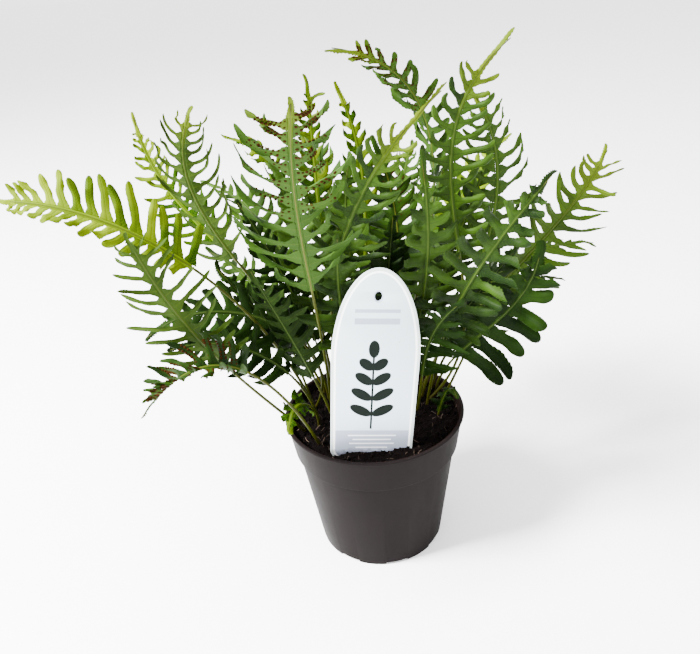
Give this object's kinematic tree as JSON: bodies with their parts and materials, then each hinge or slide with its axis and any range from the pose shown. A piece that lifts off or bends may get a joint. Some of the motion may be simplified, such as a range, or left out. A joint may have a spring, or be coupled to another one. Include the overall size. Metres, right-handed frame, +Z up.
{
  "type": "potted polypody fern",
  "caption": "Polypody fern with spreading lobed fronds in a round stepped nursery pot of peat, with an oval-topped plant label.",
  "frame": {"origin": "centre of the circle that the pot's foot stands on, under the pot's flat underside", "axes": "+Z up the pot's axis, -Y towards the side that the label faces, +X to the right as seen from that side"},
  "size_m": [0.356, 0.3078, 0.3302],
  "materials": {
    "pot": "satin moulded polypropylene, dark grey-brown",
    "soil": "moist peat with fibres and crumbs",
    "label": "printed plastic sheet",
    "frond_young": "young blade, satin yellow-green",
    "frond_olive": "thin blade, satin olive green",
    "frond_mid": "grown blade, satin mid green",
    "frond_dark": "old blade, satin dark green",
    "frond_fertile": "blade with two rows of brown spore heaps under each lobe"
  },
  "bodies": {
    "root": {"pot": "pot", "soil": "soil", "label": "label", "frond_left_long": "frond_young", "frond_left_young": "frond_young", "frond_back_left": "frond_young", "frond_back_small_a": "frond_young", "frond_back_small_b": "frond_young", "frond_back_d": "frond_young", "frond_small_left": "frond_young", "frond_left_dark": "frond_olive", "frond_left_feather": "frond_olive", "frond_right_far": "frond_olive", "frond_right_thin": "frond_olive", "frond_inner_left_b": "frond_mid", "frond_centre_bright": "frond_mid", "frond_tall_right": "frond_mid", "frond_right_upright": "frond_mid", "frond_right_inner": "frond_mid", "frond_middle_a": "frond_mid", "frond_middle_c": "frond_mid", "frond_middle_d": "frond_mid", "frond_right_mid": "frond_mid", "frond_back_a": "frond_mid", "frond_back_c": "frond_mid", "frond_centre_low": "frond_mid", "frond_back_inner": "frond_mid", "frond_small_right": "frond_mid", "frond_left_mid": "frond_dark", "frond_inner_left_a": "frond_dark", "frond_right_broad": "frond_dark", "frond_right_low": "frond_dark", "frond_back_low": "frond_dark", "frond_inner_left_c": "frond_dark", "frond_inner_left_d": "frond_dark", "frond_left_low": "frond_dark", "frond_centre_dark": "frond_dark", "frond_right_inner_b": "frond_dark", "frond_right_inner_c": "frond_dark", "frond_front": "frond_fertile", "frond_low_fertile": "frond_fertile", "frond_top_arch": "frond_fertile", "frond_middle_b": "frond_fertile", "frond_back_b": "frond_fertile"}
  },
  "joints": []
}
